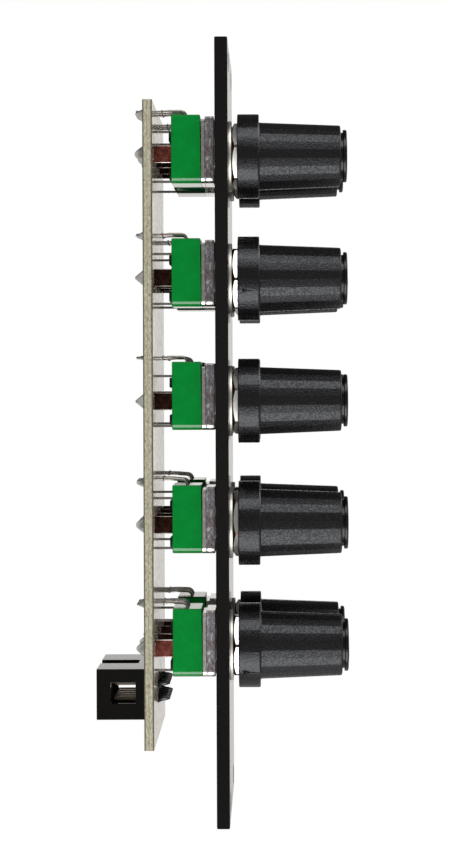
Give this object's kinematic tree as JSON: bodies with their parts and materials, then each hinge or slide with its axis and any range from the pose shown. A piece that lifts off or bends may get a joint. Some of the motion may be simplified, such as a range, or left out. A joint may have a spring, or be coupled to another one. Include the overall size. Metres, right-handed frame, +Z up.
{
  "type": "eurorack module",
  "caption": "Narrow rack synthesiser module: a metal panel with rotary knobs, potentiometers on a circuit board behind it, and a keyed box header on the back.",
  "frame": {"origin": "middle of the panel's back face, in the plane that lies against the case's rails", "axes": "+Z up along the panel's height, +Y out of the panel's back towards the circuit board, +X to the right of someone who looks at the knobs"},
  "size_m": [0.0404, 0.0421, 0.1284],
  "materials": {
    "panel_coat": "satin black coated sheet",
    "board_laminate": "glass fibre laminate with solder mask",
    "header_plastic": "moulded black plastic",
    "cover_metal": "dull plated sheet",
    "housing_plastic": "moulded green plastic",
    "shaft_metal": "turned metal",
    "nut_plating": "bright plated",
    "knob_plastic": "satin black with a fine grain"
  },
  "bodies": {
    "chassis": {"panel": "panel_coat", "main_board": "board_laminate", "power_header": "header_plastic", "pot_cover_1": "cover_metal", "pot_cover_2": "cover_metal", "pot_cover_3": "cover_metal", "pot_cover_4": "cover_metal", "pot_cover_5": "cover_metal", "pot_cover_6": "cover_metal", "pot_cover_7": "cover_metal", "pot_cover_8": "cover_metal", "pot_cover_9": "cover_metal", "pot_cover_10": "cover_metal", "pot_housing_1": "housing_plastic", "pot_housing_2": "housing_plastic", "pot_housing_3": "housing_plastic", "pot_housing_4": "housing_plastic", "pot_housing_5": "housing_plastic", "pot_housing_6": "housing_plastic", "pot_housing_7": "housing_plastic", "pot_housing_8": "housing_plastic", "pot_housing_9": "housing_plastic", "pot_housing_10": "housing_plastic", "nut_1": "nut_plating", "nut_2": "nut_plating", "nut_3": "nut_plating", "nut_4": "nut_plating", "nut_5": "nut_plating", "nut_6": "nut_plating", "nut_7": "nut_plating", "nut_8": "nut_plating", "nut_9": "nut_plating", "nut_10": "nut_plating"},
    "control_1": {"knob_1": "knob_plastic", "pot_shaft_1": "shaft_metal"},
    "control_2": {"knob_2": "knob_plastic", "pot_shaft_2": "shaft_metal"},
    "control_3": {"knob_3": "knob_plastic", "pot_shaft_3": "shaft_metal"},
    "control_4": {"knob_4": "knob_plastic", "pot_shaft_4": "shaft_metal"},
    "control_5": {"knob_5": "knob_plastic", "pot_shaft_5": "shaft_metal"},
    "control_6": {"knob_6": "knob_plastic", "pot_shaft_6": "shaft_metal"},
    "control_7": {"knob_7": "knob_plastic", "pot_shaft_7": "shaft_metal"},
    "control_8": {"knob_8": "knob_plastic", "pot_shaft_8": "shaft_metal"},
    "control_9": {"knob_9": "knob_plastic", "pot_shaft_9": "shaft_metal"},
    "control_10": {"knob_10": "knob_plastic", "pot_shaft_10": "shaft_metal"}
  },
  "joints": [
    {"name": "knob_1_turn", "type": "hinge", "parent": "chassis", "child": "control_1", "pos_m": [-0.01016, 0, 0.04572], "axis": [0, 1, 0], "range_deg": [-187, 113]},
    {"name": "knob_2_turn", "type": "hinge", "parent": "chassis", "child": "control_2", "pos_m": [-0.01016, 0, 0.0254], "axis": [0, 1, 0], "range_deg": [-42, 258]},
    {"name": "knob_3_turn", "type": "hinge", "parent": "chassis", "child": "control_3", "pos_m": [-0.01016, 0, 0.00508], "axis": [0, 1, 0], "range_deg": [-218, 82]},
    {"name": "knob_4_turn", "type": "hinge", "parent": "chassis", "child": "control_4", "pos_m": [-0.01016, 0, -0.01524], "axis": [0, 1, 0], "range_deg": [-247, 53]},
    {"name": "knob_5_turn", "type": "hinge", "parent": "chassis", "child": "control_5", "pos_m": [-0.01016, 0, -0.03556], "axis": [0, 1, 0], "range_deg": [-27, 273]},
    {"name": "knob_6_turn", "type": "hinge", "parent": "chassis", "child": "control_6", "pos_m": [0.01016, 0, 0.04572], "axis": [0, 1, 0], "range_deg": [-112, 188]},
    {"name": "knob_7_turn", "type": "hinge", "parent": "chassis", "child": "control_7", "pos_m": [0.01016, 0, 0.0254], "axis": [0, 1, 0], "range_deg": [-172, 128]},
    {"name": "knob_8_turn", "type": "hinge", "parent": "chassis", "child": "control_8", "pos_m": [0.01016, 0, 0.00508], "axis": [0, 1, 0], "range_deg": [-82, 218]},
    {"name": "knob_9_turn", "type": "hinge", "parent": "chassis", "child": "control_9", "pos_m": [0.01016, 0, -0.01524], "axis": [0, 1, 0], "range_deg": [-202, 98]},
    {"name": "knob_10_turn", "type": "hinge", "parent": "chassis", "child": "control_10", "pos_m": [0.01016, 0, -0.03556], "axis": [0, 1, 0], "range_deg": [-142, 158]}
  ]
}
